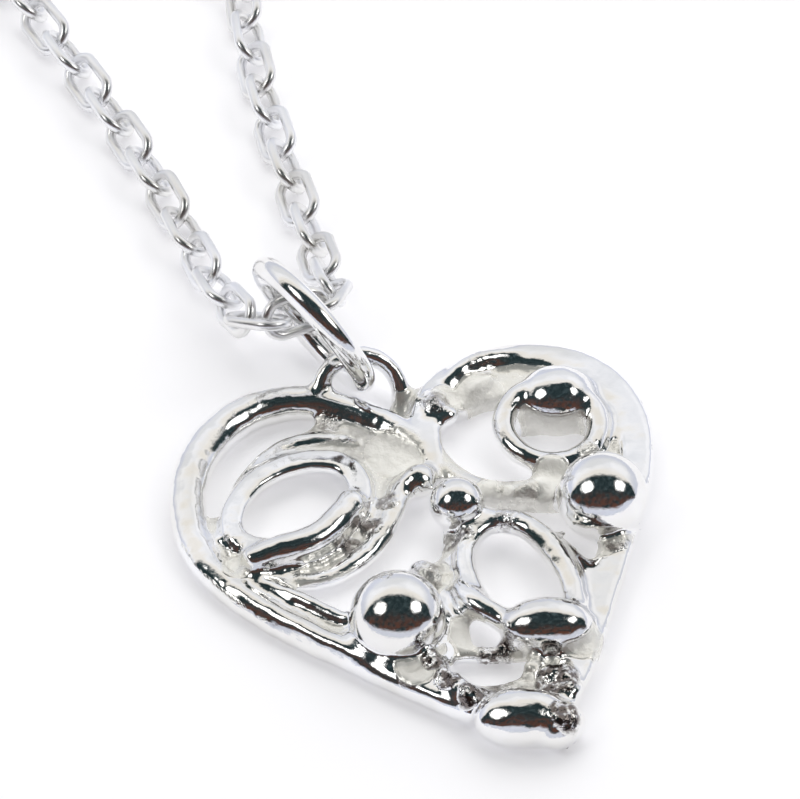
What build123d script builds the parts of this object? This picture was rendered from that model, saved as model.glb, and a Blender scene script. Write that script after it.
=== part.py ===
from build123d import *
import os
from math import cos, exp, radians, sin, tan

# A fused-wire heart pendant on its chain, lying flat on its back.
# Units are millimetres. The origin is the middle of the heart's flat back.
# +Z is up from the back, +Y runs from the heart's tip to its notch and on
# along the necklace, and +X is to the right seen from above.

# heart: size between wire centres, and the steps of the grid it is drawn on
heart_width = 21.0
heart_height = 21.0
grid_steps = 42.0

# heart: wire radii and the heights of their centre lines above the back
rim_left_radius = 0.76
rim_right_radius = 0.68
rim_height = 0.60
low_wire_radius = 0.52
low_wire_height = 0.48
thin_wire_radius = 0.34
thin_wire_height = 0.55
top_wire_radius = 0.50
top_wire_height = 1.30
ring_wire_radius = 0.56
ring_wire_height = 1.30
web_height = 0.85
web_sink = 0.20
bend_share = 0.48

# heart: round ring in the right lobe, its place in grid steps
round_ring_place = (12.4, 10.6)
round_ring_radius = 2.15
round_ring_wire = 0.52
round_ring_height = 1.30
round_ring_tilt = 6.0

# heart: melted balls and beads, whose heights are counted in steps of step_height
large_ball_radius = 2.02
small_ball_radius = 1.20
half_ball_radius = 0.72
step_height = 0.50
bead_radius = 1.38
bead_length = 4.30
tip_blob_radius = 1.45
tip_blob_length = 4.80
bulge_radius = 1.12
bulge_length = 2.60
end_bead_radius = 0.68
end_bead_length = 3.40

# heart: loop soldered behind the notch, its place in grid steps
loop_place = (-2.6, 20.0)
loop_radius = 1.90
loop_wire = 0.45
loop_height = 0.80
loop_tilt = 45.0

# bail ring: where its wire passes the loop's middle, and how it stands
bail_radius = 3.35
bail_wire = 0.55
bail_turn = 109.7
bail_lean = 20.5
pass_angle = 225.0
pass_across = 0.13
pass_along = 0.32
floor_gap = 0.02

# chain links, and how far they twist near the bail ring and at the two ends
link_wire = 0.25
link_length = 3.42
link_width = 2.14
link_play = 0.22
link_roll = 45.0
bail_twist = 15.0
left_end_twist = -10.0
right_end_twist = -20.0
twist_fade = 6.0

# chain: the link that passes through the bail ring, and its two neighbours
crossing_gap = 0.47
crossing_angle = 330.2
crossing_heading = 8.0
crossing_reach = 0.59
turn_left = 55.0
turn_right = 45.0
turn_reach = 0.59
turn_drop = 0.205

# end rings and clasp
end_ring_radius = 1.45
end_ring_wire = 0.30
left_ring_roll = -30.0
right_ring_roll = -40.0
clasp_radius = 2.20
clasp_wire = 0.55
clasp_roll = 20.0
eye_radius = 1.00
eye_wire = 0.35
eye_roll = 45.0
eye_sink = 0.10
eye_play = 0.27
clasp_play = 0.32
end_play = 0.27
right_end_shift = 0.20

# The necklace's length is set by how far away the clasp lies and by the route,
# whose points are chosen by eye: x, y and height above the chain's rest. A y
# below zero is counted back from the clasp.
clasp_distance = 211.5
chain_route = {
    "left": [
        (-12.5, -0.8, 0), (-25.0, -8.0, 0), (-36.5, -26.5, 0), (-41.5, -54.5, 0),
        (-36.0, -86.5, 0), (-23.5, 86.0, 0), (-12.0, 52.0, 0), (-7.1, 32.0, 0),
        (-5.8, 22.0, 0.05), (-5.6, 18.2, 0.45),
    ],
    "right": [
        (-0.6, 18.2, 0.45), (-0.3, 22.0, 0.05), (0.5, 32.0, 0), (6.0, 52.0, 0),
        (19.5, 86.0, 0), (34.0, -86.5, 0), (40.5, -54.5, 0), (36.0, -26.5, 0),
        (25.0, -8.0, 0), (12.5, -0.8, 0),
    ],
}

# Wires of the heart: name, wire radius, height, corners of the path in grid
# steps from the middle of the heart, and whether the path closes on itself.
heart_wires = [
    ("left rim", rim_left_radius, rim_height,
     [(1.6, 9.0), (0.9, 13.6), (-3.8, 19.0), (-8.8, 22.0), (-14.6, 21.2), (-19.8, 17.0),
      (-22.6, 10.2), (-21.9, 3.6), (-17.2, -3.9), (-9.3, -12.6), (-0.6, -21.4)], False),
    ("right rim", rim_right_radius, rim_height,
     [(1.2, 9.4), (1.5, 13.6), (3.0, 18.0), (7.4, 20.9), (13.0, 20.9), (18.8, 17.6),
      (20.6, 10.4), (18.2, 2.8), (12.3, -7.0), (6.3, -16.2), (0.6, -22.4)], False),
    ("right curl", low_wire_radius, low_wire_height,
     [(1.6, 13.0), (2.0, 9.2), (4.8, 5.4), (9.2, 3.9), (13.6, 2.0)], False),
    ("lower left ring", low_wire_radius, low_wire_height,
     [(-4.4, 14.6), (-8.6, 17.1), (-14.6, 14.4), (-19.4, 8.6), (-18.6, 2.2), (-13.4, 1.0),
      (-8.4, 2.6), (-4.8, 7.2), (-2.6, 9.6), (-0.6, 8.2)], False),
    ("oval ring", ring_wire_radius, ring_wire_height,
     [(-17.0, 4.4), (-11.2, 3.8), (-7.2, 7.2), (-6.8, 12.2), (-10.4, 13.4), (-15.0, 12.2),
      (-18.0, 8.4)], True),
    ("centre column", low_wire_radius, low_wire_height,
     [(1.4, 4.8), (0.0, 0.0), (-2.0, -2.4), (-4.6, -1.6)], False),
    ("wire beside the large ball", low_wire_radius, low_wire_height,
     [(-4.6, -1.0), (-2.4, -4.2), (-3.0, -8.6), (-5.4, -12.6)], False),
    ("left of the lower gap", thin_wire_radius, thin_wire_height,
     [(-1.2, -1.6), (-2.0, -6.0), (-2.9, -11.0)], False),
    ("neck of the large ball", rim_left_radius, rim_height,
     [(-8.2, -7.6), (-9.4, -11.6)], False),
    ("teardrop loop", top_wire_radius, top_wire_height,
     [(1.8, -11.4), (-0.3, -8.6), (-0.8, -3.8), (0.8, 0.0), (4.2, 1.6), (7.2, -0.8),
      (8.6, -5.2), (8.7, -9.4), (7.0, -13.0)], False),
    ("lower bar", thin_wire_radius, thin_wire_height,
     [(-4.2, -10.6), (-1.0, -11.9), (2.6, -12.4)], False),
    ("arc inside the right rim", low_wire_radius, low_wire_height,
     [(12.4, 3.4), (13.2, -0.4), (12.4, -4.0), (9.6, -8.4)], False),
    ("ridge on the left rim", thin_wire_radius, rim_height + thin_wire_radius,
     [(-6.4, -11.2), (-5.9, -14.4), (-4.3, -17.4)], False),
]

# Low sheets of melted metal between the wires: name and corners in grid steps.
heart_webs = [
    ("below the notch",
     [(-9.4, 17.2), (-5.4, 19.2), (-1.4, 16.4), (0.8, 11.4), (-0.4, 8.6), (-3.2, 8.8),
      (-5.2, 7.6), (-7.0, 9.6), (-8.0, 13.6)]),
    ("between the oval ring and the wire below it",
     [(-6.6, 11.4), (-3.8, 8.6), (-5.4, 6.0), (-9.0, 2.4), (-13.2, 1.4), (-16.0, 2.6),
      (-16.4, 4.2), (-11.4, 4.0), (-7.4, 7.0)]),
    ("left of the oval ring",
     [(-21.4, 9.2), (-18.4, 10.2), (-16.8, 7.0), (-15.8, 2.0), (-16.6, -2.6), (-20.0, 0.6)]),
    ("at the large ball", [(-11.0, -8.6), (-6.2, -9.4), (-5.4, -14.4), (-9.2, -12.6)]),
    ("by the centre column",
     [(0.2, 2.6), (2.2, 1.4), (-0.6, -1.8), (-1.8, -5.4), (-3.4, -4.4), (-4.2, -2.0),
      (-1.6, -0.4)]),
    ("above the tip",
     [(-4.4, -15.2), (-1.6, -16.0), (1.6, -15.8), (3.0, -13.4), (5.6, -13.8), (5.4, -17.8),
      (1.6, -21.6), (-1.4, -20.4)]),
    ("under the right ball", [(12.0, 3.2), (17.8, 4.4), (17.0, 0.2), (12.8, -3.6)]),
    ("under the round ring",
     [(12.2, 14.6), (12.4, 19.0), (17.0, 18.2), (20.0, 11.8), (19.0, 6.4), (15.0, 5.2), (16.4, 9.4)]),
    ("inside the right lobe",
     [(1.6, 12.6), (3.2, 17.6), (7.4, 20.4), (12.4, 20.2), (12.2, 15.4), (7.6, 16.4), (4.4, 15.4)]),
]

# Melted balls: name, radius, height of the centre and place, both in steps.
heart_balls = [
    ("large left ball", large_ball_radius, 3.1, (-8.0, -7.3)),
    ("large right ball", large_ball_radius * 0.95, 3.1, (13.7, 0.6)),
    ("small centre ball", small_ball_radius, 3.2, (1.2, 3.6)),
    ("half ball", half_ball_radius, 2.1, (-0.9, 8.2)),
    ("drop beside the large ball", half_ball_radius, 1.8, (-3.2, -1.8)),
    ("drop on the left rim", half_ball_radius * 0.85, 2.1, (-8.1, -12.0)),
    ("drop on the right lobe", half_ball_radius * 1.15, 1.9, (3.4, 17.2)),
    ("inner drop on the right lobe", half_ball_radius, 1.7, (8.0, 18.2)),
    ("upper crumb", half_ball_radius * 0.75, 2.2, (3.4, -15.6)),
    ("middle crumb", half_ball_radius * 0.90, 2.1, (4.4, -17.4)),
    ("side lobe of the tip", half_ball_radius * 1.25, 1.84, (1.9, -23.0)),
]

# Melted beads longer than they are wide, with round ends: name, radius, length,
# height, place in grid steps and turn seen from above.
heart_beads = [
    ("bulge of the round ring", bulge_radius, bulge_length, 2.8, (13.8, 13.8), 60.0),
    ("end of the oval ring", end_bead_radius, end_bead_length, 2.68, (-16.4, 4.1), 8.0),
    ("bead of the teardrop", bead_radius, bead_length, 2.6, (4.2, -12.5), -18.0),
    ("blob at the tip", tip_blob_radius, tip_blob_length, 2.2, (-0.5, -21.7), -15.0),
]


def spot(across, along):
    """A place of the heart in millimetres from its grid steps."""
    return (across * heart_width / grid_steps, along * heart_height / grid_steps)


def bend_radii(corners, closed):
    """Radii that round each corner of a path as widely as its runs allow."""
    points = [Vector(*spot(*corner)) for corner in corners]
    if closed:
        points = [points[-1]] + points + [points[0]]
    radii = []
    for before, here, after in zip(points, points[1:], points[2:]):
        run_in = here - before
        run_out = after - here
        turn = radians(run_in.get_angle(run_out))
        radii.append(bend_share * min(run_in.length, run_out.length) / tan(turn / 2))
    return radii


# Heart: every wire, sheet, ball and bead is cut flat at the back, and all are
# then fused into one solid, the low and round ones first and the wires last.
loop_middle = Vector(*spot(*loop_place), loop_height)
pieces = []

with BuildPart() as heart:
    for name, radius, height, corners, closed in heart_wires:
        with BuildLine(Plane.XY.offset(height)) as path:
            if len(corners) == 2:
                Line(spot(*corners[0]), spot(*corners[1]))
            else:
                FilletPolyline(
                    [spot(*corner) for corner in corners],
                    radius=bend_radii(corners, closed),
                    close=closed,
                )
        with BuildSketch(Plane(origin=path.line @ 0, z_dir=path.line % 0)):
            Circle(radius)
        pieces.append(sweep(path=path.line, mode=Mode.PRIVATE))
    for name, corners in heart_webs:
        with BuildSketch(Plane.XY.offset(-web_sink)):
            Polygon(*[spot(*corner) for corner in corners], align=None)
        pieces.append(extrude(amount=web_sink + web_height, mode=Mode.PRIVATE))
    for name, radius, height, place in heart_balls:
        with Locations((*spot(*place), height * step_height)):
            pieces.append(Sphere(radius, mode=Mode.PRIVATE))
    for name, radius, length, height, place, turn in heart_beads:
        bead_middle = (*spot(*place), height * step_height)
        bead_plane = Plane(Location(bead_middle, (0, 0, turn)))
        with BuildSketch(bead_plane):
            SlotOverall(length, 2 * radius)
            split(bisect_by=Plane.XZ, keep=Keep.TOP)
        bead_axis = Axis(bead_plane.origin, bead_plane.x_dir)
        pieces.append(revolve(axis=bead_axis, mode=Mode.PRIVATE))
    ring_middle = (*spot(*round_ring_place), round_ring_height)
    with Locations(Location(ring_middle, (round_ring_tilt, 0, 0))):
        pieces.append(Torus(round_ring_radius, round_ring_wire, mode=Mode.PRIVATE))
    with Locations(Location(tuple(loop_middle), (loop_tilt, 0, 0))):
        pieces.append(Torus(loop_radius, loop_wire, mode=Mode.PRIVATE))
    with Locations((0, 0, -heart_width / 2)):
        below = Box(3 * heart_width, 3 * heart_height, heart_width, mode=Mode.PRIVATE)
    cut_pieces = [piece - below for piece in pieces]
    add(cut_pieces[len(heart_wires):])
    add(cut_pieces[:len(heart_wires)])

heart.part.label = "heart"

# Bail ring: stands on the ground, leans and passes through the heart's loop.
bail_along = Vector(cos(radians(bail_turn)), sin(radians(bail_turn)), 0)
bail_side = Vector(-sin(radians(bail_turn)), cos(radians(bail_turn)), 0)
bail_up = bail_side * sin(radians(bail_lean)) + Vector(0, 0, cos(radians(bail_lean)))


def on_bail(angle, radius):
    """Way from the bail ring's middle to a place in its plane."""
    return (bail_along * cos(radians(angle)) + bail_up * sin(radians(angle))) * radius


bail_middle = loop_middle + Vector(pass_across, pass_along) - on_bail(pass_angle, bail_radius)
bail_middle.Z = bail_radius * cos(radians(bail_lean)) + bail_wire + floor_gap
bail_plane = Plane(origin=bail_middle, x_dir=bail_along, z_dir=bail_along.cross(bail_up))

with BuildPart() as bail_ring:
    with Locations(bail_plane.location):
        Torus(bail_radius, bail_wire)

bail_ring.part.label = "bail_ring"

# Clasp line: a ring on each end of the chain, with the clasp between them.
left_ring_to_eye = end_ring_radius + eye_radius - end_ring_wire - eye_wire - eye_play
eye_to_clasp = clasp_radius + eye_radius - eye_sink
clasp_to_right_ring = clasp_radius + end_ring_radius - clasp_wire - end_ring_wire - clasp_play
left_ring_x = -(left_ring_to_eye + eye_to_clasp + clasp_to_right_ring) / 2
eye_x = left_ring_x + left_ring_to_eye
clasp_x = eye_x + eye_to_clasp
right_ring_x = clasp_x + clasp_to_right_ring


def ring_location(across, radius, wire, roll):
    """A ring rolled about X that rests on the ground at the clasp."""
    height = radius * abs(sin(radians(roll))) + wire + floor_gap
    return Location((across, clasp_distance, height), (roll, 0, 0))


with BuildPart() as end_ring_left:
    with Locations(ring_location(left_ring_x, end_ring_radius, end_ring_wire, left_ring_roll)):
        Torus(end_ring_radius, end_ring_wire)

end_ring_left.part.label = "end_ring_left"

with BuildPart() as end_ring_right:
    with Locations(ring_location(right_ring_x, end_ring_radius, end_ring_wire, right_ring_roll)):
        Torus(end_ring_radius, end_ring_wire)

end_ring_right.part.label = "end_ring_right"

with BuildPart() as clasp:
    with Locations(ring_location(clasp_x, clasp_radius, clasp_wire, clasp_roll)):
        Torus(clasp_radius, clasp_wire)
    with Locations(ring_location(eye_x, eye_radius, eye_wire, eye_roll)):
        Torus(eye_radius, eye_wire)

clasp.part.label = "clasp"

# Chain: one oval link of round wire, copied along the whole loop.
link_pitch = link_length - 4 * link_wire - link_play
link_side = link_width / 2 - link_wire
link_straight = (link_length - link_width) / 2

with BuildPart() as link:
    with BuildLine() as outline:
        Line((-link_straight, -link_side), (link_straight, -link_side))
        CenterArc((link_straight, 0), link_side, -90, 180)
        Line((link_straight, link_side), (-link_straight, link_side))
        CenterArc((-link_straight, 0), link_side, 90, 180)
    with BuildSketch(Plane(origin=outline.line @ 0, z_dir=outline.line % 0)):
        Circle(link_wire)
    sweep(path=outline.line)

# The crossing link passes through the bail ring. Its neighbours turn away from
# it on both sides, and each pair of links hooks together at a hook point.
heading = Vector(1, 0, 0).rotate(Axis.Z, crossing_heading)
turn_in = heading.rotate(Axis.Z, -turn_left)
turn_out = heading.rotate(Axis.Z, turn_right)
down = Vector(0, 0, -turn_drop * link_pitch)
crossing_middle = bail_middle + on_bail(
    crossing_angle, bail_radius - bail_wire - link_wire - crossing_gap
)
left_hook = crossing_middle - heading * crossing_reach * link_pitch
right_hook = crossing_middle + heading * crossing_reach * link_pitch
left_turn = left_hook - turn_in * turn_reach * link_pitch + down
right_turn = right_hook + turn_out * turn_reach * link_pitch + down

# The two end hooks lie where the end rings hold the first and the last link.
rest_height = link_side * sin(radians(link_roll)) + link_wire + floor_gap
end_reach = end_ring_radius - end_ring_wire - link_wire - end_play
end_reach += link_straight + link_side - link_pitch / 2
left_end = Vector(left_ring_x - end_reach, clasp_distance, rest_height)
right_end = Vector(right_ring_x + end_reach, clasp_distance + right_end_shift, rest_height)


def strand_hooks(points):
    """Hook points an even number of links apart along a strand of the route."""
    strand = Edge.make_spline(points)
    count = 2 * round(strand.length / link_pitch / 2)
    return [strand @ (number / count) for number in range(count + 1)]


def route_points(side):
    """The chosen points of one strand at the chain's resting height."""
    points = []
    for x, y, lift in chain_route[side]:
        if y < 0:
            y += clasp_distance
        points.append(Vector(x, y, rest_height + lift))
    return points


left_hooks = strand_hooks([left_end] + route_points("left") + [left_turn])
right_hooks = strand_hooks([right_turn] + route_points("right") + [right_end])
hooks = left_hooks + [left_hook, right_hook] + right_hooks
crossing_number = len(left_hooks)
last_number = len(hooks) - 2


def roll_of(number):
    """Turn of a link about its own length: neighbours stand crosswise."""
    roll = link_roll if (number - crossing_number) % 2 == 0 else -link_roll
    roll += bail_twist * exp(-(((number - crossing_number) / twist_fade) ** 2))
    roll += left_end_twist * exp(-number / twist_fade)
    roll += right_end_twist * exp(-(last_number - number) / twist_fade)
    return roll


def link_location(number):
    """Place of a link between its two hooks, no lower than the ground."""
    start, end = hooks[number], hooks[number + 1]
    along = (end - start).normalized()
    across = Vector(0, 0, 1).cross(along)
    roll = roll_of(number)
    middle = (start + end) * 0.5
    lowest = link_side * abs(sin(radians(roll))) + link_wire + floor_gap
    middle.Z = max(middle.Z, lowest)
    plane = Plane(origin=middle, x_dir=along, z_dir=along.cross(across))
    return plane.location * Location((0, 0, 0), (roll, 0, 0))


chain = Compound([link.part.solid().moved(link_location(n)) for n in range(last_number + 1)])
chain.label = "chain"

necklace_length = sum(edge.length for edge in map(Edge.make_line, hooks, hooks[1:]))
necklace_length += left_end.X * -1 + right_end.X
print("links:", last_number + 1, "necklace length:", round(necklace_length, 1))

# One file for each piece.
os.makedirs("parts", exist_ok=True)
export_step(heart.part, "parts/heart.step")
export_step(bail_ring.part, "parts/bail_ring.step")
export_step(chain, "parts/chain.step")
export_step(end_ring_left.part, "parts/end_ring_left.step")
export_step(end_ring_right.part, "parts/end_ring_right.step")
export_step(clasp.part, "parts/clasp.step")
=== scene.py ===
import bpy
import math
import numpy as np
from mathutils import Matrix, Vector, noise


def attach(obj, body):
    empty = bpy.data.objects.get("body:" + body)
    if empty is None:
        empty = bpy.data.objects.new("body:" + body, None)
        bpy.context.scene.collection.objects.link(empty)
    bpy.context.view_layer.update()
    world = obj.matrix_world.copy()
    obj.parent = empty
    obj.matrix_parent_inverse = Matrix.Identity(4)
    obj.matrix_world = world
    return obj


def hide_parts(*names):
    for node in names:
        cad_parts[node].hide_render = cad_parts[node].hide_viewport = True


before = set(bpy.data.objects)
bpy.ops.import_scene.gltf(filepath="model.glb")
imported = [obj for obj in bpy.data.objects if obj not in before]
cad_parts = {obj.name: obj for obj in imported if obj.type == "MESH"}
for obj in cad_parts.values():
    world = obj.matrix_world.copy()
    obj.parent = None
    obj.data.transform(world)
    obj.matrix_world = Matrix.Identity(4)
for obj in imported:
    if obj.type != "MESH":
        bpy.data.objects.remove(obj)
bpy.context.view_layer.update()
mm = 0.001  # pieces are drawn with one unit for a millimetre, and brought to metres at the end

# photograph's angle: a long lens from above, a little to the left of the tip
view = {"azimuth": -18, "elevation": 47, "distance": 290, "aim": (0.6, 10.0, 0.0), "lens": 288}


def deselectAll():
    bpy.ops.object.select_all(action="DESELECT")


def pick(piece):
    deselectAll()
    piece.select_set(True)
    bpy.context.view_layer.objects.active = piece


def joinAll(pieces, name):
    deselectAll()
    for piece in pieces:
        piece.select_set(True)
    bpy.context.view_layer.objects.active = pieces[0]
    bpy.ops.object.join()
    whole = bpy.context.object
    whole.name = name
    whole.data.name = name
    return whole


def settle(piece, size=1.0):  # place, turn and size go into the mesh, the object stays at the origin
    pick(piece)
    piece.scale = piece.scale * size
    bpy.ops.object.transform_apply(location=True, rotation=True, scale=True)


def applyModifier(piece, kind, **settings):
    pick(piece)
    modifier = piece.modifiers.new(kind.title(), kind)
    for key, setting in settings.items():
        setattr(modifier, key, setting)
    bpy.ops.object.modifier_apply(modifier=modifier.name)


def readVertices(mesh):
    places = np.empty(len(mesh.vertices) * 3)
    mesh.vertices.foreach_get("co", places)
    return places.reshape(-1, 3)


def writeVertices(mesh, places):
    mesh.vertices.foreach_set("co", places.ravel())
    mesh.update()


def smoothStep(low, high, values):
    share = np.clip((values - low) / (high - low), 0, 1)
    return share * share * (3 - 2 * share)


def makeCamera():
    bpy.ops.object.camera_add()
    camera = bpy.context.object
    camera.name = "camera"
    turn, rise = math.radians(view["azimuth"]), math.radians(view["elevation"])
    back = Vector((math.sin(turn) * math.cos(rise), -math.cos(turn) * math.cos(rise), math.sin(rise)))
    camera.location = (Vector(view["aim"]) + back * view["distance"]) * mm
    camera.rotation_euler = (-back).to_track_quat("-Z", "Y").to_euler()
    camera.data.lens = view["lens"]
    camera.data.clip_start = 0.01
    camera.data.clip_end = 5
    bpy.context.scene.camera = camera
    print("camera set")


# shader maths as expressions, and one way to add any other node
class Value:
    def __init__(self, paint, socket):
        self.paint = paint
        self.socket = socket

    def maths(self, operation, first, second=0.0):
        return self.paint.node("ShaderNodeMath", {"operation": operation}, {0: first, 1: second})

    def __add__(self, other):
        return self.maths("ADD", self, other)

    def __sub__(self, other):
        return self.maths("SUBTRACT", self, other)

    def __mul__(self, other):
        return self.maths("MULTIPLY", self, other)

    def __radd__(self, other):
        return self.maths("ADD", other, self)

    def __rsub__(self, other):
        return self.maths("SUBTRACT", other, self)

    def __rmul__(self, other):
        return self.maths("MULTIPLY", other, self)

    def over(self, low, high):  # 0 below low, 1 above high, smooth between
        return self.paint.node(
            "ShaderNodeMapRange", {"interpolation_type": "SMOOTHSTEP"}, {0: self, 1: low, 2: high}
        )


class Paint:
    def __init__(self, tree):
        self.tree = tree
        tree.nodes.clear()

    def node(self, kind, settings, values, output=0):
        node = self.tree.nodes.new(kind)
        for key, setting in settings.items():
            setattr(node, key, setting)
        for key, value in values.items():
            if isinstance(value, Value):
                self.tree.links.new(value.socket, node.inputs[key])
            else:
                node.inputs[key].default_value = value
        return Value(self, node.outputs[output]) if len(node.outputs) else None

    def mix(self, share, first, second):
        return self.node("ShaderNodeMix", {"data_type": "RGBA"}, {0: share, 6: first, 7: second}, 2)

    def noise(self, place, scale, detail=2.0, roughness=0.5):
        values = {"Vector": place, "Scale": scale, "Detail": detail, "Roughness": roughness}
        return self.node("ShaderNodeTexNoise", {}, values)


def newMaterial(name):
    material = bpy.data.materials.new(name)
    material.use_nodes = True
    return material, Paint(material.node_tree)


# studio: white all round, a dark band overhead from left to right, two soft lamps in it
studio = {
    "lowEdge": 16, "highEdge": 107, "edgeBlur": 4, "edgeMottle": 8.0, "sideReach": 14.0,
    "backdrop": (0.98, 0.98, 1.0, 1), "shade": (0.80, 0.81, 0.835, 1), "front": (0.90, 0.92, 0.98, 1),
    "edge": (0.62, 0.65, 0.76, 1), "cream": (0.86, 0.81, 0.72, 1),
    "dark": (0.016, 0.028, 0.031, 1), "grey": (0.09, 0.125, 0.135, 1), "brown": (0.120, 0.052, 0.036, 1),
    "lamps": [(-0.65, 0.05, 0.755), (0.62, -0.28, 0.73)], "lampCore": 6, "lampEdge": 16, "lampPower": 3.0,
    "tableSize": 0.9, "tableMiddle": (0, 0.05, 0), "tableWhite": (0.77, 0.77, 0.79, 1),
    "tableGlow": (0.985, 0.98, 1.0, 1), "tableGlowPower": 0.37,
    "fillPlace": (0.16, 0.30, 0.42), "fillAim": (0, 0.01, 0), "fillSize": 0.70, "fillPower": 1.8,
}


def makeStudio():
    world = bpy.data.worlds.new("studio")
    bpy.context.scene.world = world
    world.use_nodes = True
    paint = Paint(world.node_tree)
    way = paint.node("ShaderNodeTexCoord", {}, {}, "Generated")
    turn = math.radians(view["azimuth"])
    ahead = (-math.sin(turn), math.cos(turn), 0)
    along = paint.node("ShaderNodeVectorMath", {"operation": "DOT_PRODUCT"}, {0: way, 1: ahead}, "Value")
    upward = paint.node("ShaderNodeSeparateXYZ", {}, {0: way}, "Z")
    height = upward.maths("ARCTAN2", upward, along * -1.0) * (180 / math.pi)
    low, high, blur = studio["lowEdge"], studio["highEdge"], studio["edgeBlur"]
    across = (math.cos(turn), math.sin(turn), 0)
    sideways = paint.node("ShaderNodeVectorMath", {"operation": "DOT_PRODUCT"}, {0: way, 1: across}, "Value")
    mottle = paint.noise(way, 3.5, 3.0)
    edge = height + (mottle - 0.5) * studio["edgeMottle"] - sideways.over(0.70, 0.95) * studio["sideReach"]
    dark = edge.over(low - blur, low + blur) * (1.0 - edge.over(high - blur, high + blur))
    patchy = paint.noise(way, 1.3, 2.0).over(0.40, 0.62)
    white = paint.mix(patchy, studio["backdrop"], studio["shade"])
    white = paint.mix(height.over(20, 90), studio["front"], white)
    rimLight = upward.over(-0.35, 0.02) * (1.0 - upward.over(0.10, 0.42))
    white = paint.mix(rimLight * 0.8, white, studio["edge"])
    creamBand = height.over(high - 5, high) * (0.7 - height.over(high + 8, high + 26) * 0.7)
    white = paint.mix(creamBand, white, studio["cream"])
    gloom = paint.mix(paint.noise(way, 9.0, 4.0, 0.7).over(0.45, 0.75), studio["dark"], studio["grey"])
    brown = (1.0 - height.over(20, 75)) * paint.noise(way, 6.0, 3.0).over(0.35, 0.60)
    gloom = paint.mix(brown, gloom, studio["brown"])
    colour = paint.mix(dark, white, gloom)
    core, rim = (math.cos(math.radians(studio[key])) for key in ("lampCore", "lampEdge"))
    power = studio["lampPower"]
    for lamp in studio["lamps"]:
        side = Vector(lamp).normalized()
        facing = paint.node("ShaderNodeVectorMath", {"operation": "DOT_PRODUCT"}, {0: way, 1: side}, "Value")
        colour = paint.mix(facing.over(rim, core), colour, (power, power * 0.99, power * 0.97, 1))
    light = paint.node("ShaderNodeBackground", {}, {"Color": colour, "Strength": 1.0})
    paint.node("ShaderNodeOutputWorld", {}, {"Surface": light})
    bpy.context.scene.view_settings.view_transform = "Standard"
    print("studio set")


def makeTable():
    bpy.ops.mesh.primitive_plane_add(size=studio["tableSize"], location=studio["tableMiddle"])
    floor = bpy.context.object
    floor.name = "floor"
    material, paint = newMaterial("whiteTable")
    shader = paint.node(
        "ShaderNodeBsdfPrincipled", {},
        {"Base Color": studio["tableWhite"], "Roughness": 0.9, "Specular IOR Level": 0.1,
         "Emission Color": studio["tableGlow"], "Emission Strength": studio["tableGlowPower"]},
    )
    paint.node("ShaderNodeOutputMaterial", {}, {"Surface": shader})
    floor.data.materials.append(material)
    print("white table set")


def makeFill():  # a soft lamp that lights the matt places and shows in no reflection
    bpy.ops.object.light_add(type="AREA", location=studio["fillPlace"])
    fill = bpy.context.object
    fill.name = "softFill"
    fill.rotation_euler = (Vector(studio["fillAim"]) - fill.location).to_track_quat("-Z", "Y").to_euler()
    fill.data.size = studio["fillSize"]
    fill.data.energy = studio["fillPower"]
    fill.visible_glossy = False
    print("soft lamp set")


# silver finishes: the polished colours, the pale frosted ones that partly paint pale glints, and the grit of
# the crumbled places with its painted dark reflection
silver = {
    "bright": (0.93, 0.935, 0.95, 1), "soft": (0.86, 0.855, 0.84, 1), "pale": (0.89, 0.875, 0.81, 1),
    # grit is the colour of a painted dark brown reflection on the crumbled places
    # the frost colour is a frosted finish that also paints pale glints
    "frostAndPaintedGlint": (0.985, 0.975, 0.925, 1), "grit": (0.135, 0.11, 0.10, 1),
    "rippleDepth": 0.00010, "gritDepth": 0.00018, "speckleDepth": 0.00004,
}


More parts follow.
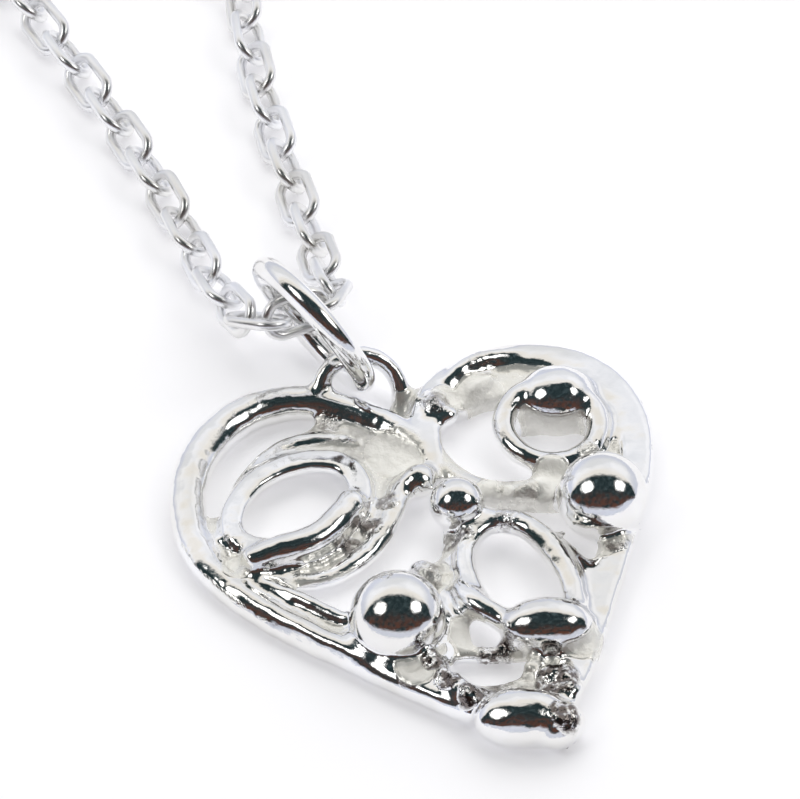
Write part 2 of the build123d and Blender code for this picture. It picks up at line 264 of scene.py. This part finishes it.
def polishedSilver(name, wave, satin, melted=False):  # wave is the ripple's strength, satin the roughness
    material, paint = newMaterial(name)
    place = paint.node("ShaderNodeTexCoord", {}, {}, "Object")
    ripple = paint.noise(place, 900.0, 2.0)
    speckle = paint.noise(place, 9000.0, 3.0, 0.65)
    tint = paint.noise(place, 260.0, 3.0)
    colour = paint.mix(tint.over(0.38, 0.62), silver["bright"], silver["soft"])
    roughness = satin + speckle.over(0.50, 0.80) * 0.10
    metal = 1.0
    depth = silver["rippleDepth"]
    bump = paint.node("ShaderNodeBump", {}, {"Strength": wave, "Distance": depth, "Height": ripple})
    if melted:  # rough pale silver in the low places, frost with painted pale glints at its patches, sharp glossy grit with a painted dark brown reflection in the coarse ones
        grain = paint.node("ShaderNodeAttribute", {"attribute_name": "grain"}, {}, "Fac")
        low = paint.node("ShaderNodeAttribute", {"attribute_name": "low"}, {}, "Fac")
        spots = paint.noise(place, 1500.0, 4.0, 0.6)
        pale = (low + (spots - 0.5) * 0.9).over(0.35, 0.85)
        gritty = (grain + (spots - 0.5) * 0.8).over(0.30, 0.75)
        frostAndPaintedGlintShare = low.over(1.0, 1.9)
        flecks = paint.noise(place, 5200.0, 3.0, 0.7).over(0.50, 0.66)
        # painted dark brown reflection on the grainy places
        paintedDarkReflection = gritty * paint.noise(place, 2600.0, 2.0).over(0.36, 0.52) * 0.92
        colour = paint.mix(pale * 0.8, colour, silver["pale"])
        # frost colour at its patches, partly a frosted finish and partly a painted pale glint
        colour = paint.mix(frostAndPaintedGlintShare * (0.7 + flecks * 0.3), colour, silver["frostAndPaintedGlint"])
        colour = paint.mix(paintedDarkReflection, colour, silver["grit"])
        roughness = roughness + pale * 0.17 + frostAndPaintedGlintShare * 0.16
        metal = 1.0 - pale * 0.45 - frostAndPaintedGlintShare * (0.50 - flecks * 0.35)
        grit = paint.noise(place, 1900.0, 3.0, 0.55) * (gritty * 0.9 + pale * 0.30 + frostAndPaintedGlintShare * 0.35 + 0.03)
        values = {"Strength": 0.9, "Distance": silver["gritDepth"], "Height": grit, "Normal": bump}
        bump = paint.node("ShaderNodeBump", {}, values)
    values = {"Strength": 0.10, "Distance": silver["speckleDepth"], "Height": speckle, "Normal": bump}
    bump = paint.node("ShaderNodeBump", {}, values)
    values = {"Base Color": colour, "Metallic": metal, "Roughness": roughness, "Normal": bump}
    shader = paint.node("ShaderNodeBsdfPrincipled", {}, values)
    paint.node("ShaderNodeOutputMaterial", {}, {"Surface": shader})
    return material


# heart, drawn with one unit for a millimetre
heart = {
    "voxel": 0.111, "melt": 0.22, "smoothing": 5, "sheetLow": -0.2, "sheetHigh": 0.85, "sheetEdge": 0.22,
    "meltSmoothing": 2, "relaxing": 24, "creaseDepth": 0.06, "ballHold": 0.9,
    "wave": 0.032, "ripple": 0.012, "crumble": 0.085, "everywhere": 0.004,  # how far the skin swells
    "waveSize": 1.1, "rippleSize": 2.6, "crumbleSize": 5.2,  # swells in a millimetre or so, finer when larger
    "creaseShare": 0.30,  # how much of the crumbling is in the creases
    "lowTop": (0.90, 1.12), "frostAndPaintedGlintTop": (1.45, 1.85),  # heights where the pale metal and the frost with its painted glints fade out
    "upright": (0.3, 0.8),  # the pale metal is on faces that look up
    "wires": {  # melted wires, each with its points: x, y, height and radius
        "leftRim": [
            (0.8, 4.5, 0.50, 0.50), (0.45, 6.8, 0.65, 0.70), (-1.9, 9.4, 0.72, 0.78),
            (-4.4, 10.9, 0.75, 0.86), (-7.4, 10.5, 0.72, 0.94), (-9.9, 8.2, 0.68, 0.92),
            (-11.0, 5.0, 0.58, 0.82), (-10.75, 1.8, 0.50, 0.74), (-8.55, -1.9, 0.45, 0.70),
            (-6.6, -4.05, 0.50, 0.72), (-4.65, -6.25, 0.60, 0.85), (-2.5, -8.5, 0.65, 0.95),
            (-0.3, -10.7, 0.65, 0.95),
        ],
        "rightRim": [
            (0.6, 4.7, 0.50, 0.60), (0.75, 6.8, 0.65, 0.72), (1.5, 8.9, 0.62, 0.78),
            (3.7, 10.3, 0.50, 0.78), (6.5, 10.3, 0.46, 0.84), (9.2, 8.6, 0.46, 0.96),
            (10.2, 5.3, 0.50, 0.90), (9.0, 1.5, 0.55, 0.84), (5.9, -3.4, 0.60, 0.78),
            (3.0, -8.0, 0.60, 0.78), (0.4, -11.2, 0.60, 0.80),
        ],
        "rimShine": [
            (2.5, 9.4, 0.95, 0.35), (3.5, 10.0, 1.12, 0.46), (4.8, 10.3, 1.12, 0.42), (6.6, 10.2, 0.9, 0.3),
        ],
        "rightCurl": [
            (0.8, 6.5, 0.48, 0.50), (1.0, 4.6, 0.48, 0.52), (2.4, 2.7, 0.55, 0.62), (4.4, 2.0, 0.58, 0.78),
            (5.6, 1.6, 0.58, 0.76), (6.8, 1.1, 0.55, 0.66),
        ],
        "lowerLeftRing": [
            (-2.2, 7.3, 0.48, 0.50), (-4.3, 8.55, 0.65, 0.56), (-7.3, 7.3, 0.60, 0.52),
            (-9.5, 4.3, 0.50, 0.50), (-8.9, 1.1, 0.55, 0.50), (-6.3, -0.1, 0.60, 0.44),
            (-3.6, 0.9, 0.70, 0.52), (-1.95, 2.9, 0.80, 0.60), (-1.1, 4.5, 0.82, 0.56),
            (-0.3, 4.2, 0.75, 0.50),
        ],
        "ovalRing": [
            (-8.9, 2.4, 1.00, 0.56), (-5.8, 1.7, 1.00, 0.56), (-3.1, 3.5, 1.05, 0.58),
            (-3.0, 6.1, 1.05, 0.62), (-5.1, 6.9, 1.05, 0.58), (-7.7, 6.3, 1.05, 0.54),
            (-9.4, 4.2, 1.00, 0.58),
        ],
        "ovalBar": [
            (-9.3, 1.45, 1.45, 0.54), (-8.1, 1.8, 1.45, 0.68), (-6.2, 1.65, 1.45, 0.72),
            (-4.8, 2.4, 1.50, 0.72), (-3.85, 3.3, 1.55, 0.66),
        ],
        "centreColumn": [
            (0.7, 2.4, 0.5, 0.55), (0.0, 0.0, 0.5, 0.55), (-1.0, -1.2, 0.5, 0.52), (-2.3, -0.8, 0.5, 0.5),
        ],
        "besideBall": [
            (-2.3, -0.5, 0.5, 0.5), (-1.3, -2.1, 0.6, 0.5), (-1.6, -4.3, 0.6, 0.5), (-2.8, -6.3, 0.6, 0.6),
        ],
        "lowerGapSide": [(-0.6, -0.8, 0.55, 0.36), (-1.0, -3.0, 0.6, 0.36), (-1.5, -5.5, 0.55, 0.4)],
        "ballNeck": [(-4.1, -3.8, 0.7, 1.2), (-4.4, -4.9, 0.7, 1.2), (-4.6, -5.9, 0.7, 1.0)],
        "teardrop": [
            (0.9, -5.7, 1.15, 0.55), (-0.1, -4.3, 1.20, 0.50), (-0.35, -1.9, 1.15, 0.50),
            (0.4, 0.0, 1.20, 0.5), (2.1, 0.8, 1.25, 0.54), (3.4, -0.4, 1.35, 0.60),
            (3.95, -2.4, 1.35, 0.60), (4.0, -4.7, 1.25, 0.52), (3.3, -6.5, 1.1, 0.6),
        ],
        "teardropEdge": [
            (-0.8, -2.4, 1.20, 0.36), (-0.75, -3.2, 1.40, 0.56), (-0.2, -4.4, 1.45, 0.60),
            (0.6, -5.3, 1.3, 0.44),
        ],
        "teardropSide": [
            (3.8, 0.0, 0.8, 0.3), (4.8, -2.0, 0.95, 0.34), (5.0, -4.0, 0.95, 0.34), (4.7, -5.4, 0.8, 0.3),
        ],
        "lowerBar": [(-2.1, -5.6, 0.55, 0.42), (-0.5, -6.4, 0.6, 0.40), (1.3, -6.6, 0.55, 0.4)],
        "rightArc": [
            (6.4, 1.5, 0.45, 0.60), (6.8, -0.2, 0.45, 0.56), (6.6, -2.0, 0.45, 0.50),
            (5.6, -4.2, 0.45, 0.45),
        ],
        "rimRidgeUp": [(-3.5, -5.5, 1.1, 0.36), (-3.2, -6.3, 1.35, 0.50), (-3.0, -7.1, 1.2, 0.34)],
        "rimRidgeLow": [
            (-3.0, -7.2, 1.2, 0.36), (-2.65, -8.2, 1.4, 0.52), (-2.2, -9.0, 1.35, 0.48),
            (-1.8, -9.5, 1.2, 0.3),
        ],
        "innerRidge": [
            (-9.7, 1.4, 0.9, 0.30), (-8.25, -0.15, 1.05, 0.34), (-6.3, -2.4, 1.05, 0.34),
            (-5.4, -3.3, 0.9, 0.3),
        ],
        "outerRidge": [
            (-11.0, 3.4, 0.80, 0.40), (-10.1, 0.6, 0.85, 0.44), (-8.6, -1.7, 0.90, 0.48),
            (-6.9, -3.9, 0.95, 0.50), (-5.6, -5.3, 0.95, 0.46),
        ],
    },
    "closed": ("ovalRing",),
    "flatTops": {  # height of a wire's flat top, and it applies below this y
        "ovalRing": (1.40, 99), "rightRim": (1.18, 99), "leftRim": (1.32, -5.6), "rightCurl": (1.22, 3.4),
        "rightArc": (0.98, 99), "teardropSide": (1.20, 99),
    },
    "sheets": {  # corners of low melted sheets
        "belowNotch": [
            (-4.7, 8.6), (-2.7, 9.6), (-0.7, 8.2), (0.4, 5.7), (-0.2, 4.3), (-1.6, 4.4), (-2.6, 3.8),
            (-3.5, 4.8), (-4.0, 6.8),
        ],
        "betweenRings": [
            (-3.3, 5.7), (-1.9, 4.3), (-2.7, 3.0), (-4.5, 1.2), (-6.6, 0.7), (-8.0, 1.3), (-8.2, 2.1),
            (-5.7, 2.0), (-3.7, 3.5),
        ],
        "leftOfOval": [(-10.5, 4.2), (-9.4, 4.6), (-8.4, 3.5), (-7.9, 1.0), (-8.3, -1.0), (-10.0, 0.3)],
        "atLeftBall": [(-5.5, -4.3), (-3.1, -4.7), (-2.7, -7.2), (-4.6, -6.3)],
        "byColumn": [
            (0.1, 1.3), (1.1, 0.7), (-0.3, -0.9), (-0.9, -2.7), (-1.7, -2.2), (-2.1, -1.0), (-0.8, -0.2),
        ],
        "aboveTip": [
            (-2.2, -7.6), (-0.8, -8.0), (0.8, -7.9), (1.5, -6.7), (2.8, -6.9), (2.7, -8.9), (0.8, -10.8),
            (-0.7, -10.2),
        ],
        "underRightBall": [(6.2, 1.6), (8.9, 2.2), (8.5, 0.1), (6.6, -1.8)],
        "insideRoundRing": [
            (4.5, 6.3), (5.3, 6.0), (6.8, 5.85), (8.0, 5.9), (8.6, 6.2), (8.2, 7.0), (6.8, 7.3), (5.2, 7.2),
        ],
        "underRoundRing": [
            (6.1, 7.3), (6.2, 9.5), (8.5, 9.1), (10.0, 5.9), (9.5, 3.2), (7.5, 2.6), (8.2, 4.7),
        ],
        "rightLobe": [(0.8, 6.3), (1.6, 8.8), (3.7, 10.2), (6.2, 10.1), (6.1, 7.9), (3.8, 8.0), (2.2, 7.6)],
    },
    "balls": {  # large round ones: x, y, height, radius
        "largeLeftBall": (-3.99, -3.77, 1.60, 2.12), "largeRightBall": (6.85, 0.20, 1.60, 2.03),
        "smallCentreBall": (0.58, 1.76, 1.60, 1.24),
    },
    "rings": {  # ring radius, wire radius, place and tilt
        "roundRing": (2.15, 0.52, (6.2, 5.3, 1.30), 6), "bailLoop": (1.90, 0.45, (-1.3, 10.0, 0.80), 45),
    },
    "lumps": {  # melted lumps and beads: x, y, height, radius, half length, turn seen from above
        "halfBall": (-0.45, 4.1, 1.00, 0.80, 0.90, 20), "dropByBall": (-1.8, -1.2, 0.85, 0.62, 0.9, -60),
        "ringBulge": (7.0, 6.85, 1.00, 1.62, 1.85, -14), "teardropBead": (2.15, -6.0, 1.25, 1.36, 2.1, -16),
        "tipBlob": (-0.5, -10.45, 1.05, 1.36, 2.15, -16), "tipLobe": (0.9, -11.2, 0.85, 1.0, 1.3, 10),
        "lobeLump": (1.6, 8.3, 0.95, 0.62, 0.85, 70), "lobeLumpTwo": (2.0, 7.6, 0.90, 0.50, 0.6, 0),
        "crumbA": (0.9, -7.7, 0.95, 0.36, 0.5, 20), "crumbB": (1.45, -8.55, 1.1, 0.46, 0.6, 0),
        "crumbC": (2.0, -8.9, 1.15, 0.50, 0.7, 70), "crumbD": (1.9, -9.7, 1.1, 0.55, 0.7, 30),
        "crumbE": (1.2, -9.2, 0.95, 0.36, 0.5, 40), "crumbF": (1.35, -11.1, 1.45, 0.46, 0.6, 50),
        "crumbG": (0.75, -11.5, 1.60, 0.36, 0.5, -10), "crumbH": (-3.6, -6.0, 1.1, 0.36, 0.4, 0),
        "arcCrumb": (7.3, -1.1, 1.05, 0.34, 0.5, 60), "arcCrumbTwo": (7.0, -2.1, 1.0, 0.30, 0.6, 50),
        "curlGlint": (4.1, 2.1, 1.0, 0.50, 1.1, 5), "lobeGlint": (4.0, 8.8, 0.95, 0.42, 0.9, 25),
        "barEnd": (-3.9, 3.25, 1.55, 0.68, 0.70, 0),
    },
    "grain": [  # x, y, reach and strength of the coarse grainy places, which also carry the painted dark reflection
        (-3.2, 8.8, 0.9, 0.5), (-4.4, 1.3, 0.8, 0.6), (-3.3, 2.1, 0.8, 0.6), (-2.2, 3.2, 0.8, 0.6),
        (-3.2, -6.4, 0.8, 0.9), (-2.9, -7.6, 0.9, 1.0), (-2.3, -8.9, 0.8, 1.0), (1.6, -9.0, 1.3, 1.0),
        (-0.4, -6.4, 1.1, 0.7), (1.1, -11.4, 0.9, 1.0), (-9.8, 1.1, 1.2, 0.15), (0.0, 0.3, 1.1, 0.6),
        (-1.9, -1.6, 1.2, 0.5), (-0.4, -8.5, 1.5, 0.5), (6.6, -2.2, 0.8, 0.5), (-1.6, 6.7, 2.0, 0.3),
        (-9.3, 3.0, 1.5, 0.3), (3.6, 2.2, 1.5, 0.4), (2.4, 0.3, 1.0, 0.4), (-4.0, -6.3, 0.8, 0.3),
        (1.8, 8.1, 1.1, 0.5), (7.2, 3.2, 0.9, 0.4), (4.4, 10.0, 1.0, 0.3),
    ],
    "frostAndPaintedGlint": [  # x, y, reach and strength of the pale frosted places, partly painted pale glints
        (6.2, -1.4, 1.7, 1.0), (5.3, 2.5, 1.1, 1.0), (7.2, 3.1, 0.7, 0.8), (6.6, 6.2, 1.9, 1.0),
        (2.2, 8.6, 0.8, 0.8), (2.5, 2.4, 1.1, 0.9), (4.0, 1.8, 1.4, 0.9), (5.6, 1.5, 1.0, 1.0),
        (3.3, -7.1, 1.3, 0.8), (-3.9, -6.4, 1.3, 1.0), (-2.9, -5.6, 0.7, 0.8), (0.0, 0.3, 1.2, 0.7),
        (-1.6, -1.6, 1.1, 0.7), (-1.3, -5.0, 1.2, 0.8), (3.9, 8.5, 1.3, 0.9), (0.4, -7.6, 1.2, 0.6),
        (-1.0, 6.2, 1.7, 0.8), (-9.6, 1.6, 1.0, 0.7),
    ],
}


def drawWire(name, points, closed=False):
    bpy.ops.curve.primitive_nurbs_path_add()
    wire = bpy.context.object
    wire.name = name
    curve = wire.data
    curve.splines.clear()
    spline = curve.splines.new("NURBS")
    spline.points.add(len(points) - 1)
    for point, (x, y, z, radius) in zip(spline.points, points):
        point.co = (x, y, z, 1)
        point.radius = radius
    spline.use_cyclic_u = closed
    spline.order_u = 3
    spline.use_endpoint_u = not closed
    spline.resolution_u = 12
    curve.bevel_depth = 1.0
    curve.bevel_resolution = 6
    curve.use_fill_caps = True
    pick(wire)
    bpy.ops.object.convert(target="MESH")
    return bpy.context.object


def drawSheet(name, corners):
    mesh = bpy.data.meshes.new(name)
    mesh.from_pydata([(x, y, heart["sheetLow"]) for x, y in corners], [], [list(range(len(corners)))])
    sheet = bpy.data.objects.new(name, mesh)
    bpy.context.collection.objects.link(sheet)
    pick(sheet)
    rise = heart["sheetHigh"] - heart["sheetLow"]
    bpy.ops.object.mode_set(mode="EDIT")
    bpy.ops.mesh.select_all(action="SELECT")
    bpy.ops.mesh.extrude_region_move(TRANSFORM_OT_translate={"value": (0, 0, rise)})
    bpy.ops.mesh.select_all(action="SELECT")
    bpy.ops.mesh.normals_make_consistent(inside=False)
    bpy.ops.mesh.bevel(offset=heart["sheetEdge"], segments=3)
    bpy.ops.object.mode_set(mode="OBJECT")
    return sheet


def drawLump(name, x, y, z, radius, half, turn):
    bpy.ops.mesh.primitive_uv_sphere_add(
        segments=64, ring_count=32, radius=radius, location=(x, y, z), rotation=(0, 0, math.radians(turn))
    )
    lump = bpy.context.object
    lump.name = name
    lump.scale.x = half / radius
    settle(lump)
    return lump


def pushOut(piece, amount):  # moves the skin along its normals
    applyModifier(piece, "DISPLACE", strength=amount, mid_level=0.0, direction="NORMAL")


def readNormals(mesh):
    normals = np.empty(len(mesh.vertices) * 3)
    mesh.vertices.foreach_get("normal", normals)
    return normals.reshape(-1, 3)


def noiseAt(places, size, shift):
    return np.array([noise.noise(Vector(place) * size + Vector((shift, shift, shift))) for place in places])


def flatten(wire):
    top, reach = heart["flatTops"][wire.name]
    places = readVertices(wire.data)
    clipped = np.minimum(places[:, 2], top)
    places[:, 2] = np.where(places[:, 1] < reach, clipped, places[:, 2])
    writeVertices(wire.data, places)


def heartParts():
    parts = [drawWire(name, points, name in heart["closed"]) for name, points in heart["wires"].items()]
    for part in parts:
        if part.name in heart["flatTops"]:
            flatten(part)
    parts += [drawSheet(name, corners) for name, corners in heart["sheets"].items()]
    for name, (x, y, z, radius) in heart["balls"].items():
        parts.append(drawLump(name, x, y, z, radius, radius, 0))
    parts += [drawLump(name, *lump) for name, lump in heart["lumps"].items()]
    for radius, wire, place, tilt in heart["rings"].values():
        bpy.ops.mesh.primitive_torus_add(
            location=place, rotation=(math.radians(tilt), 0, 0), major_radius=radius,
            minor_radius=wire, major_segments=96, minor_segments=32,
        )
        settle(bpy.context.object)
        parts.append(bpy.context.object)
    return parts


def meltTogether(whole):  # the skin swells, closes the creases and shrinks back
    for push in (heart["melt"], -heart["melt"]):
        applyModifier(whole, "REMESH", mode="VOXEL", voxel_size=heart["voxel"])
        applyModifier(whole, "SMOOTH", factor=0.5, iterations=heart["meltSmoothing"])
        pushOut(whole, push)
    applyModifier(whole, "REMESH", mode="VOXEL", voxel_size=heart["voxel"], use_smooth_shade=True)
    applyModifier(whole, "SMOOTH", factor=0.5, iterations=heart["smoothing"])
    print("heart fused:", len(whole.data.polygons), "faces")


def readCreases(whole, places, normals):  # deep where a well smoothed copy stands far above the skin
    relaxed = whole.copy()
    relaxed.data = whole.data.copy()
    bpy.context.collection.objects.link(relaxed)
    applyModifier(relaxed, "SMOOTH", factor=0.5, iterations=heart["relaxing"])
    hollow = ((readVertices(relaxed.data) - places) * normals).sum(axis=1)
    bpy.data.objects.remove(relaxed)
    return smoothStep(0.0, heart["creaseDepth"], hollow)


def nearPatch(places, x, y, reach, core):  # 1 in the patch's core, 0 past its reach
    away = np.hypot(places[:, 0] - x, places[:, 1] - y)
    return 1 - smoothStep(core * reach, reach, away)


def ballSkin(places, middle, radius, inner, outer):  # 1 on a ball's skin, 0 away from it
    distance = np.linalg.norm(places - middle, axis=1)
    return 1 - smoothStep(inner, outer, np.abs(distance - radius))


def makeHeart(material):
    whole = joinAll(heartParts(), "fusedHeart")
    meltTogether(whole)

    # coarse grain at its places and in the creases, none on the balls
    places = readVertices(whole.data)
    normals = readNormals(whole.data)
    crease = readCreases(whole, places, normals)
    patch = np.zeros(len(places))
    for x, y, reach, strength in heart["grain"]:
        patch = np.maximum(patch, strength * nearPatch(places, x, y, reach, core=0.45))
    onBall = np.zeros(len(places))
    for x, y, z, radius in heart["balls"].values():
        skin = ballSkin(places, np.array((x, y, z)), radius, inner=0.12, outer=0.30)
        onBall = np.maximum(onBall, skin)
    patch *= 1 - onBall
    bumpy = np.clip(patch + heart["creaseShare"] * crease, 0, 1) * (1 - onBall)
    coarse = noiseAt(places, heart["waveSize"], shift=3.0)
    middle = noiseAt(places, heart["rippleSize"], shift=7.0)
    fine = noiseAt(places, heart["crumbleSize"], shift=11.0)
    swell = heart["wave"] * coarse + heart["ripple"] * middle * (1 + 2 * bumpy)
    swell += heart["crumble"] * fine * bumpy + heart["everywhere"] * fine
    places += normals * swell[:, None]

    # the three melted balls keep their round tops
    for x, y, z, radius in heart["balls"].values():
        centre = np.array((x, y, z))
        away = places - centre
        distance = np.linalg.norm(away, axis=1)
        target = centre + away * (radius / distance)[:, None]
        near = ballSkin(places, centre, radius, inner=0.10, outer=0.22)
        places += (target - places) * (heart["ballHold"] * near)[:, None]
    places[:, 2] = np.maximum(places[:, 2], 0.0)
    writeVertices(whole.data, places)

    # pale metal in the low places, and frosted at its patches, partly as painted pale glints
    upright = smoothStep(*heart["upright"], readNormals(whole.data)[:, 2])
    low = (1 - smoothStep(*heart["lowTop"], places[:, 2])) * upright + 0.25 * crease * (1 - onBall)
    low *= 1 - 0.7 * patch
    for x, y, reach, strength in heart["frostAndPaintedGlint"]:
        near = strength * nearPatch(places, x, y, reach, core=0.5)
        low += 2.0 * near * (1 - onBall) * (1 - patch) * (1 - smoothStep(*heart["frostAndPaintedGlintTop"], places[:, 2]))
    # grain also sets where the painted dark reflection goes
    for name, values in (("grain", patch), ("low", np.clip(low, 0, 2))):
        attribute = whole.data.attributes.new(name, "FLOAT", "POINT")
        attribute.data.foreach_set("value", values)
    settle(whole, mm)
    whole.data.materials.clear()
    whole.data.materials.append(material)
    pick(whole)
    bpy.ops.object.shade_smooth()
    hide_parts("heart")
    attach(whole, "root")
    print("heart made")


# bail ring
bail = {
    "middle": (-2.75, 12.27, 3.708), "radius": 3.35, "wire": 0.55, "turn": 109.7, "lean": 20.5,
    "around": 128, "across": 32,  # faces along the ring and round its wire
}


def makeBail(material):
    bpy.ops.mesh.primitive_torus_add(
        major_radius=bail["radius"], minor_radius=bail["wire"],
        major_segments=bail["around"], minor_segments=bail["across"],
    )
    ring = bpy.context.object
    ring.name = "bailRing"
    turn, lean = math.radians(bail["turn"]), math.radians(bail["lean"])
    along = Vector((math.cos(turn), math.sin(turn), 0))
    side = Vector((-math.sin(turn), math.cos(turn), 0))
    up = side * math.sin(lean) + Vector((0, 0, math.cos(lean)))
    stand = Matrix((along, up, along.cross(up))).transposed().to_4x4()
    ring.matrix_world = Matrix.Translation(bail["middle"]) @ stand
    settle(ring)
    settle(ring, mm)
    bpy.ops.object.shade_smooth()
    ring.data.materials.append(material)
    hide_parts("bail_ring")
    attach(ring, "root")
    print("bail ring made")


# chain: one link is modelled and copied to the place of each link of the solid chain
link = {
    "wire": 0.25, "length": 3.42, "width": 2.14, "count": 203,
    "near": (28, 10), "far": (14, 6), "nearTo": 0.055,  # faces around and across, finer up to this y
}


def makeLink(around, across):
    side = link["width"] / 2 - link["wire"]
    bpy.ops.mesh.primitive_torus_add(
        major_radius=side, minor_radius=link["wire"], major_segments=around, minor_segments=across
    )
    piece = bpy.context.object
    bpy.ops.object.mode_set(mode="EDIT")
    bpy.ops.mesh.select_all(action="DESELECT")
    bpy.ops.object.mode_set(mode="OBJECT")
    for vertex in piece.data.vertices:
        vertex.select = vertex.co.x > 0
    bpy.ops.object.mode_set(mode="EDIT")
    bpy.ops.transform.translate(value=(link["length"] - link["width"], 0, 0))
    bpy.ops.mesh.select_all(action="SELECT")
    bpy.ops.transform.translate(value=(-(link["length"] - link["width"]) / 2, 0, 0))
    bpy.ops.object.mode_set(mode="OBJECT")
    return piece


def linkPlaces():
    cad = readVertices(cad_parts["chain"].data) / mm
    places = []
    for corners in cad.reshape(link["count"], -1, 3):
        middle = corners.mean(axis=0)
        axes = np.linalg.svd(corners - middle, full_matrices=False)[2]
        long, wide = Vector(axes[0]), Vector(axes[1])
        turn = Matrix((long, wide, long.cross(wide))).transposed().to_4x4()
        places.append(Matrix.Translation(middle) @ turn)
    return places


def makeChain(material):
    near, far = makeLink(*link["near"]), makeLink(*link["far"])
    copies = []
    for place in linkPlaces():
        source = near if place.translation.y * mm < link["nearTo"] else far
        mesh = source.data.copy()
        mesh.transform(place)
        copy = bpy.data.objects.new("link", mesh)
        bpy.context.collection.objects.link(copy)
        copies.append(copy)
    bpy.data.objects.remove(near)
    bpy.data.objects.remove(far)
    chain = joinAll(copies, "cableChain")
    settle(chain, mm)
    bpy.ops.object.shade_smooth()
    chain.data.materials.clear()
    chain.data.materials.append(material)
    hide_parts("chain")
    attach(chain, "root")
    print("chain made:", len(chain.data.polygons), "faces")


makeCamera()
makeStudio()
makeTable()
makeFill()
makeHeart(polishedSilver("fusedSilver", wave=0.25, satin=0.05, melted=True))
makeBail(polishedSilver("ringSilver", wave=0.12, satin=0.07))
chainSilver = polishedSilver("chainSilver", wave=0.10, satin=0.28)
makeChain(chainSilver)
for node in ("end_ring_left", "end_ring_right", "clasp"):
    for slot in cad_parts[node].material_slots:
        slot.material = chainSilver
